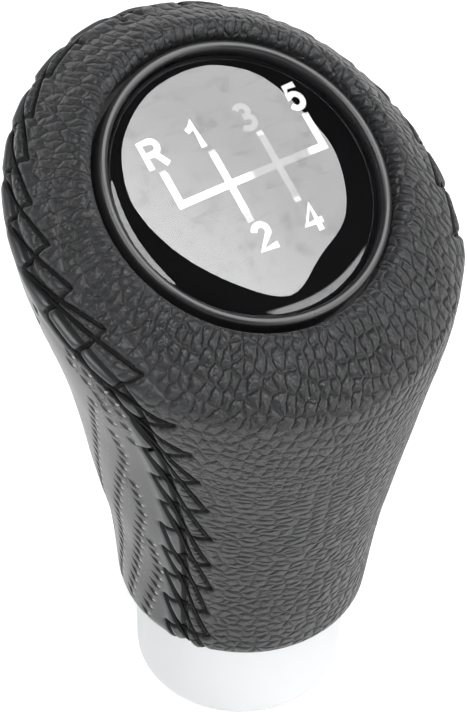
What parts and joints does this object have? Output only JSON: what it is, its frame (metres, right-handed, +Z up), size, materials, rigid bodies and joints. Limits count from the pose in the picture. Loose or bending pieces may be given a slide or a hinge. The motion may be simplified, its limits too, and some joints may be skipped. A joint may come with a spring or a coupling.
{
  "type": "gear shift knob",
  "caption": "Leather-covered manual gear shift knob on a satin metal collar, with laced seams and a tilted domed cap showing a five-speed shift pattern.",
  "frame": {"origin": "on the lever axis, in the plane of the collar's lower face, where the lever enters the knob", "axes": "+Z up the lever, +X to the driver's right, -Y towards the driver, whom the cap leans towards"},
  "size_m": [0.06, 0.0579, 0.0917],
  "materials": {
    "satin_metal": "satin",
    "sleeve_plastic": "matte",
    "spring_steel": "satin",
    "plated_steel": "satin",
    "core_plastic": "matte",
    "padding_foam": "matte",
    "smooth_leather": "satin grained",
    "perforated_leather": "satin perforated",
    "black_thread": "matte",
    "bezel_black": "gloss",
    "cap_plastic": "matte",
    "adhesive_foam": "matte",
    "plate_black": "gloss",
    "print_white": "gloss",
    "clear_resin": "clear gloss"
  },
  "bodies": {
    "root": {"collar": "satin_metal", "lever_sleeve": "sleeve_plastic", "spring_clip": "spring_steel", "sleeve_washer": "plated_steel", "sleeve_screw": "plated_steel", "grip_core": "core_plastic", "foam_padding": "padding_foam", "front_cover": "smooth_leather", "rear_cover": "perforated_leather", "left_lacing": "black_thread", "right_lacing": "black_thread", "bezel_ring": "bezel_black", "cap_base": "cap_plastic", "cap_adhesive": "adhesive_foam", "emblem_plate": "plate_black", "shift_pattern": "print_white", "dome_lens": "clear_resin"}
  },
  "joints": []
}
